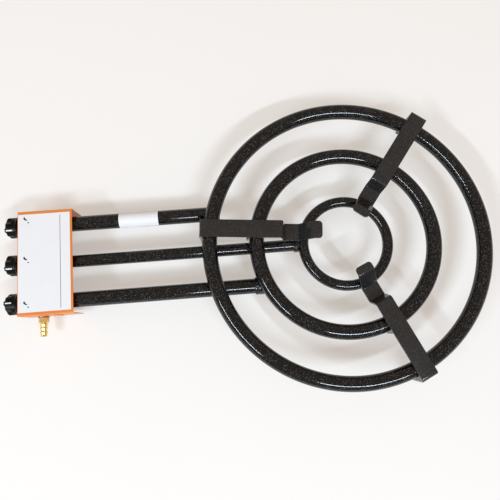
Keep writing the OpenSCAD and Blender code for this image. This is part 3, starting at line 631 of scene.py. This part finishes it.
def label_finish(s):
    """White printed film, very slightly uneven."""
    f = Finish("label", s.label_film, roughness=0.45)
    f.patches(f.noise(30.0), low=0.4, high=0.8, share=0.25, second=shade(s.label_film, 0.93))
    f.rough(f.noise(45.0), low=0.38, high=0.5)
    f.bump(f.noise(90.0), distance=0.05 * MM, strength=0.3)
    return f.material


def metal_finish(name, base, low, high, stretch):
    """Worked metal: fine lines drawn out along one axis, with darker and paler streaks."""
    f = Finish(name, base, roughness=low, metallic=1.0)
    lines = f.noise(140.0, place=f.stretched(stretch))
    f.patches(lines, low=0.35, high=0.7, share=0.5, second=shade(base, 0.72))
    f.rough(lines, low, high)
    f.bump(lines, distance=0.05 * MM, strength=0.35)
    return f.material


def zinc_finish(s):
    """Zinc plated sheet and tube."""
    return metal_finish("zinc_steel", s.zinc, low=0.3, high=0.48, stretch=(3.0, 0.6, 3.0))


def brass_finish(s):
    """Turned brass."""
    return metal_finish("brass", s.brass, low=0.26, high=0.42, stretch=(1.0, 9.0, 1.0))


def steel_finish(s):
    """Turned bright steel."""
    return metal_finish("bright_steel", s.zinc, low=0.18, high=0.3, stretch=(9.0, 1.0, 1.0))


def knob_finish(s):
    """Moulded black plastic with a fine spark-eroded grain."""
    f = Finish("knob_plastic", s.knob, roughness=0.3, specular=0.18)
    f.patches(f.noise(55.0), low=0.45, high=0.8, share=0.4, second=shade(s.knob, 2.2))
    f.rough(f.noise(120.0), low=0.24, high=0.38)
    f.bump(f.noise(1500.0, detail=2.0), distance=0.05 * MM, strength=0.4)
    return f.material


def paint_finish(name, base):
    """A small patch of print, paint or fibre, worn a little uneven."""
    f = Finish(name, base, roughness=0.45)
    f.patches(f.noise(500.0), low=0.45, high=0.8, share=0.3, second=shade(base, 0.8, lift=0.03))
    f.bump(f.noise(900.0), distance=0.03 * MM, strength=0.3)
    return f.material


def fibre_finish(s):
    """Red fibre of the sealing washer."""
    return paint_finish("fibre", s.fibre)


def mark_finish(s):
    """Black print on the top plate."""
    return paint_finish("mark", s.mark)


def pointer_finish(s):
    """White paint of the knobs' lines."""
    return paint_finish("pointer", s.pointer)


def floor_finish(s):
    """Pale floor, very slightly uneven in colour, with an even white under its shadows."""
    f = Finish("floor", s.floor, roughness=0.6)
    f.patches(f.noise(3.0), low=0.4, high=0.7, share=0.3, second=shade(s.floor, 0.96))
    f.glow(s.glow, s.glow_share)
    return f.material


def finishes():
    """The material of each slot of the record, of the welds and of the marks, made once."""
    s = bpy.context.scene.burner_finish
    makers = {
        "black_enamel": enamel_finish,
        "weld_enamel": weld_finish,
        "arm_paint": arm_finish,
        "orange_paint": cover_finish,
        "label": label_finish,
        "zinc_steel": zinc_finish,
        "brass": brass_finish,
        "bright_steel": steel_finish,
        "fibre": fibre_finish,
        "knob_plastic": knob_finish,
        "mark": mark_finish,
        "pointer": pointer_finish,
    }
    ready = bpy.data.materials
    return {name: ready.get(FINISH_PREFIX + name) or make(s) for name, make in makers.items()}


def settle(piece, slot, body=FRAME_BODY, stands_for=(), finish=None):
    """Gives a piece the finish of its slot, or another one, sets it on its body and hides the solids it
    stands for."""
    piece.data.materials.append(finishes()[finish or slot])
    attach(piece, body)
    if stands_for:
        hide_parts(*stands_for)


# Operators


class BURNER_OT_solids(bpy.types.Operator):
    """Give every packed node the finish of its slot, and the welds a beaded one"""

    bl_idname = "burner.solids"
    bl_label = "Finish the solids"

    def execute(self, context):
        made = finishes()
        for row in frame["record"]["subparts"]:
            slots = frame["nodes"][row["node"]].data.materials
            slots.clear()
            weld = row["node"].endswith("_weld")
            slots.append(made["weld_enamel" if weld else row["material_slot"]])
        return {"FINISHED"}


class BURNER_OT_rings(bpy.types.Operator):
    """Make the three rings with their rows of flame ports"""

    bl_idname = "burner.rings"
    bl_label = "Rings"

    def execute(self, context):
        for tap in TAPS:
            node = tap + "_ring"
            half = half_size(node)
            piece = ring_with_ports(tap + "_burner_ring", middle(node), half.y - half.z, half.z,
                                    context.scene.burner_rings)
            settle(piece, "black_enamel", stands_for=[node])
        return {"FINISHED"}


class BURNER_OT_tubes(bpy.types.Operator):
    """Make the feed tubes with their closed ends"""

    bl_idname = "burner.tubes"
    bl_label = "Feed tubes"

    def execute(self, context):
        s = context.scene.burner_tubes
        turn = np.linspace(0, math.pi / 2, QUARTER_POINTS)
        for tap in TAPS:
            node, cap = tap + "_feed_tube", tap + "_tube_cap"
            centre, r = middle(node), half_size(node).y
            mouth, inner_end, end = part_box(node)[0].x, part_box(cap)[0].x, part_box(cap)[1].x
            bore = r - s.wall
            x, radius = end - s.edge * (1 - np.cos(turn)), r - s.edge * (1 - np.sin(turn))
            rounded = np.stack([x, radius], axis=1)
            profile = [(end, POLE), *rounded, (mouth + s.edge / 2, r), (mouth, r - s.edge / 2),
                       (mouth, bore), (inner_end, bore), (inner_end, POLE)]
            piece = turned_x(tap + "_tube", profile, centre.y, centre.z, s.sides)
            settle(piece, "black_enamel", stands_for=[node, cap])
        return {"FINISHED"}


class BURNER_OT_arms(bpy.types.Operator):
    """Make the flat-bar arms with their bends and legs"""

    bl_idname = "burner.arms"
    bl_label = "Arms"

    def execute(self, context):
        s = context.scene.burner_arms
        centre, ring = middle("outer_ring"), middle("inner_ring")
        reach, tube = half_size("inner_ring").y, half_size("inner_ring").z
        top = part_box("near_arm")[1].z
        half = s.thickness / 2
        level, floor_level = top - half, top - s.dip_depth - half

        def climb_at(z, depth):
            """How far out the slope over the inner ring is, at a height and a depth in the bar."""
            over = tube + s.gap + s.thickness - depth - (z - ring.z) * math.cos(s.climb)
            return reach - tube + over / math.sin(s.climb)

        flat = climb_at(top - s.dip_depth, 0.0) + s.dip_floor + s.dip_depth / math.tan(s.drop)

        def drop_at(z, depth):
            """The same for the slope off the long flat."""
            fall = top - depth * math.cos(s.drop) - z
            return flat + depth * math.sin(s.drop) - fall / math.tan(s.drop)

        tab_end = climb_at(top, 0.0) - s.tab
        start = tab_end + s.tab_corner * (1 - np.cos(np.linspace(0, math.pi / 2, TAB_POINTS)))
        tab = np.stack([start, np.full(TAB_POINTS, level)], axis=1)
        for node, turn, shift, room in ARMS:
            leg = half_size("outer_ring").y + room + half
            corners = [(tab_end, level),
                       (climb_at(level, half), level),
                       (climb_at(floor_level, half), floor_level),
                       (drop_at(floor_level, half), floor_level),
                       (drop_at(level, half), level),
                       (leg, level),
                       (leg, 0.0)]
            path = rounded_path(corners, [s.step_bend] * 4 + [s.leg_bend])
            path = np.concatenate([tab, path[1:]])
            back = np.clip(s.tab_corner - (path[:, 0] - tab_end), 0.0, s.tab_corner)
            half_width = s.width / 2 - s.tab_corner + np.sqrt(s.tab_corner ** 2 - back ** 2)
            a = math.radians(turn)

            def place(along, left, up):
                x = centre.x + along * math.cos(a) - (shift + left) * math.sin(a)
                y = centre.y + along * math.sin(a) + (shift + left) * math.cos(a)
                return np.stack([x, y, up], axis=-1)

            piece = flat_bar(node + "_bar", path, half_width, half, s.edge, place)
            settle(piece, "arm_paint", stands_for=[node])
        return {"FINISHED"}


class BURNER_OT_knobs(bpy.types.Operator):
    """Make the knobs with their rib, finger scoops and white line"""

    bl_idname = "burner.knobs"
    bl_label = "Knobs"

    def execute(self, context):
        s = context.scene.burner_knobs
        around = np.linspace(0, 2 * math.pi, s.sides, endpoint=False)
        height, radius = self.surface(s, around)
        for tap, turn in zip(TAPS, s.turns):
            node, body = tap + "_knob", tap + "_knob_group"
            back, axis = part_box(node)[1].x, middle(node)
            grid = np.stack([back - height, axis.y - radius * np.sin(around + turn),
                             axis.z + radius * np.cos(around + turn)], axis=-1)
            piece = piece_of(tap + "_control_knob", [skin(grid, capped=True)], SHARP_KNOB)
            settle(piece, "knob_plastic", body, [node])
            self.pointer(s, tap, back, axis, turn, body)
        return {"FINISHED"}

    def outline(self, s, front, front_radius):
        """Rows of (height, radius) from the hollow's roof round the rim to the middle of the front. Each
        corner is followed by the number of rows that lead to the next one."""
        bore = s.body_radius - s.wall
        corners = [(s.hollow, POLE, 6),
                   (s.hollow, bore, 3),
                   (s.hollow_edge, bore, 2),
                   (0.0, bore + s.hollow_edge, 3),
                   (0.0, s.rim_radius - s.rim_edge, 3),
                   (s.rim_edge, s.rim_radius, 2),
                   (s.rim_height, s.rim_radius, 4),
                   (s.flare_height, s.body_radius + s.flare, 4),
                   (s.flare_end, s.body_radius, 40),
                   (s.depth - s.edge, s.body_radius, 12),
                   (front, front_radius, 4),
                   (front, front_radius * FRONT_CORE, 20),
                   (front, POLE, 1)]
        rows = [np.linspace(a[:2], b[:2], a[2], endpoint=False) for a, b in zip(corners, corners[1:])]
        return np.concatenate(rows + [np.array([corners[-1][:2]])])

    def surface(self, s, around):
        """Height and radius of every row at every turn. A scoop is a circle beside the body, and the
        limit is where a ray at this turn meets it. From scoop_back on, the radius r is drawn in to it by
        a soft minimum, r - b log(1 + exp((r - limit) / b)). Across the rib's width the plain outline
        passes into the ribbed one by a smooth step."""
        plain = self.outline(s, s.depth, s.body_radius - s.edge)
        ribbed = self.outline(s, s.depth + s.rib, s.body_radius)
        h, r = plain[:, :1], plain[:, 1:]
        limit = np.full((1, len(around)), np.inf)
        off = s.body_radius + s.scoop_radius - s.scoop
        for scoop in np.radians(SCOOPS):
            away = around - scoop
            chord = s.scoop_radius ** 2 - (off * np.sin(away)) ** 2
            hit = off * np.cos(away) - np.sqrt(np.clip(chord, 0, None))
            limit = np.minimum(limit, np.where((chord > 0) & (np.cos(away) > 0), hit, np.inf))
        scooped = r - s.scoop_blend * np.log1p(np.exp((r - limit) / s.scoop_blend))
        deep = smooth_step((h - s.scoop_back) / s.scoop_rise + 0.5)
        r_plain = r + deep * (scooped - r)
        on_rib = smooth_step((s.rib_width / 2 - abs(r * np.sin(around))) / s.rib_rise + 0.5)
        height = h + on_rib * (ribbed[:, :1] - h)
        radius = r_plain + on_rib * (ribbed[:, 1:] - r_plain)
        return height, radius

    def pointer(self, s, tap, back, axis, turn, body):
        """The white line: a strip bent round the body, from the front backwards."""
        front = s.depth + s.rib
        along = np.linspace(front - s.line_length, front - s.line_start, LINE_POINTS)
        half = s.line_width / 2 / s.body_radius
        sides = np.array([-half, -half, 0.0, half, half, 0.0]) + turn
        low, high = s.body_radius - s.line_sink, s.body_radius + s.line_proud
        radius = np.array([low, high, high, high, low, low])
        x = np.repeat(back - along[:, None], len(sides), axis=1)
        y = np.broadcast_to(axis.y - radius * np.sin(sides), x.shape)
        z = np.broadcast_to(axis.z + radius * np.cos(sides), x.shape)
        grid = np.stack([x, y, z], axis=-1)
        piece = piece_of(tap + "_pointer_line", [skin(grid, capped=True)], SHARP_PRINT)
        settle(piece, "label", body, finish="pointer")


class BURNER_OT_springs(bpy.types.Operator):
    """Make the return springs, each set on the body of its tap's plug"""

    bl_idname = "burner.springs"
    bl_label = "Return springs"

    def execute(self, context):
        s = context.scene.burner_springs
        for tap in TAPS:
            node, push = tap + "_spring", tap + "_push"
            front, back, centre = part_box(node)[0].x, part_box(node)[1].x, middle(node)
            piece = coil_x(tap + "_return_spring", front + s.wire / 2, back - s.wire / 2, centre,
                           half_size(node).y - s.wire / 2, s)
            settle(piece, "bright_steel", tap + "_plug_group", [node])
            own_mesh(piece)
        return {"FINISHED"}


class BURNER_OT_plate_marks(bpy.types.Operator):
    """Print the plain off and flame marks and the long line on the top plate"""

    bl_idname = "burner.plate_marks"
    bl_label = "Plate marks"

    def execute(self, context):
        s = context.scene.burner_plate
        low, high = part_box("top_plate")
        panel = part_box("box_cover")[0].x
        edges = [self.line(s, panel + s.line_front, low.y + s.line_inset, high.y - s.line_inset)]
        for y in s.mark_places:
            edges += [self.dot(s, panel + s.dot_front, y), self.stroke(s, panel + s.dot_front, y)]
        marks = [thin_patch(left, right, high.z, high.z + s.raise_by) for left, right in edges]
        settle(piece_of("plate_marks", marks, SHARP_PRINT), "label", finish="mark")
        return {"FINISHED"}

    def line(self, s, x, start, end):
        """Both edges of the long line."""
        left = np.array([(x, start), (x, end)])
        return left, left + (s.line_width, 0.0)

    def dot(self, s, x, y):
        """Both halves of a circle: r sin t to each side at r cos t before the middle."""
        t = np.linspace(0, math.pi, MARK_POINTS)
        along = x - s.dot_radius * np.cos(t)
        half = s.dot_radius * np.sin(t) + HAIR
        return np.stack([along, y + half], axis=1), np.stack([along, y - half], axis=1)

    def stroke(self, s, x, y):
        """Both edges of a tapering stroke, bent sideways by the bow times sin pi t at share t."""
        t = np.linspace(0, 1, MARK_POINTS)
        along = x + s.stroke_start[0] + s.stroke_run[0] * t
        across = y + s.stroke_start[1] + s.stroke_run[1] * t - s.stroke_bow * np.sin(math.pi * t)
        half = s.stroke_wide + (s.stroke_narrow - s.stroke_wide) * t
        return np.stack([along, across + half], axis=1), np.stack([along - half, across - half], axis=1)


class BURNER_OT_stage(bpy.types.Operator):
    """Make the pale floor, the soft light and the camera"""

    bl_idname = "burner.stage"
    bl_label = "Stage"

    def execute(self, context):
        s = context.scene.burner_stage
        self.floor(s)
        self.sky(context, s)
        self.windows(context, s)
        self.camera(context, s)
        context.scene.view_settings.view_transform = "Standard"
        return {"FINISHED"}

    def floor(self, s):
        """A level square under the feet."""
        line = np.linspace(-s.floor_reach, s.floor_reach, FLOOR_POINTS)
        x, y = np.meshgrid(line, line, indexing="ij")
        grid = np.stack([x, y, np.full_like(x, -s.floor_drop)], axis=-1)
        floor = piece_of("floor", [skin(grid, wrap_columns=False)])
        if floor.data.polygons[0].normal.z < 0:
            floor.data.flip_normals()
        floor.data.materials.append(floor_finish(s))

    def sky(self, context, s):
        """An even warm light from all round."""
        world = context.scene.world or bpy.data.worlds.new("sky")
        context.scene.world = world
        world.use_nodes = True
        background = world.node_tree.nodes["Background"]
        background.inputs["Color"].default_value = (*s.sky, 1.0)
        background.inputs["Strength"].default_value = s.sky_strength

    def windows(self, context, s):
        """Two long narrow windows, high up on the camera's side."""
        for (name, away, size), watts in zip(WINDOWS, (s.wide_power, s.side_power)):
            lamp = bpy.data.lights.new(name, "AREA")
            lamp.shape = "RECTANGLE"
            lamp.size, lamp.size_y = size
            lamp.color = s.window
            lamp.energy = watts
            holder = bpy.data.objects.new(name, lamp)
            holder.location = Vector(s.window_target) + Vector(away).normalized() * s.window_distance
            holder.rotation_euler = (-Vector(away)).to_track_quat("-Z", "Y").to_euler()
            context.scene.collection.objects.link(holder)

    def camera(self, context, s):
        """A camera high over the near side of the burner, turned a few degrees."""
        ahead = Vector(s.camera_ahead).normalized()
        right = Vector(s.camera_right)
        right = (right - ahead * right.dot(ahead)).normalized()
        turn = Matrix((right, right.cross(ahead), -ahead)).transposed().to_4x4()
        lens = bpy.data.cameras.new("camera")
        lens.lens, lens.sensor_width = s.lens, SENSOR_WIDTH
        holder = bpy.data.objects.new("camera", lens)
        holder.matrix_world = Matrix.Translation(Vector(s.camera_place)) @ turn
        context.scene.collection.objects.link(holder)
        context.scene.camera = holder


class BURNER_PT_panel(bpy.types.Panel):
    """Lists the burner's pieces and their settings"""

    bl_idname = "BURNER_PT_panel"
    bl_label = "Burner"
    bl_space_type = "VIEW_3D"
    bl_region_type = "UI"
    bl_category = "Burner"

    def draw(self, context):
        for operator in OPERATORS:
            self.layout.operator(operator.bl_idname)
        for name, group in SETTINGS.items():
            box = self.layout.box()
            box.label(text=group.__doc__)
            for key in group.__annotations__:
                box.prop(getattr(context.scene, name), key)


SETTINGS = {
    "burner_finish": FinishSettings,
    "burner_rings": RingSettings,
    "burner_tubes": TubeSettings,
    "burner_arms": ArmSettings,
    "burner_knobs": KnobSettings,
    "burner_springs": SpringSettings,
    "burner_plate": PlateSettings,
    "burner_stage": StageSettings,
}
OPERATORS = (BURNER_OT_stage, BURNER_OT_solids, BURNER_OT_rings, BURNER_OT_tubes, BURNER_OT_arms,
             BURNER_OT_knobs, BURNER_OT_springs, BURNER_OT_plate_marks)
CLASSES = (*SETTINGS.values(), *OPERATORS, BURNER_PT_panel)


def register():
    for made in CLASSES:
        bpy.utils.register_class(made)
    for name, group in SETTINGS.items():
        setattr(bpy.types.Scene, name, PointerProperty(type=group))


def unregister():
    for name in SETTINGS:
        delattr(bpy.types.Scene, name)
    for made in reversed(CLASSES):
        bpy.utils.unregister_class(made)


def main():
    register()
    bpy.ops.burner.stage()
    bpy.ops.burner.solids()
    bpy.ops.burner.rings()
    bpy.ops.burner.tubes()
    bpy.ops.burner.arms()
    bpy.ops.burner.knobs()
    bpy.ops.burner.springs()
    bpy.ops.burner.plate_marks()


if __name__ == "__main__":
    main()
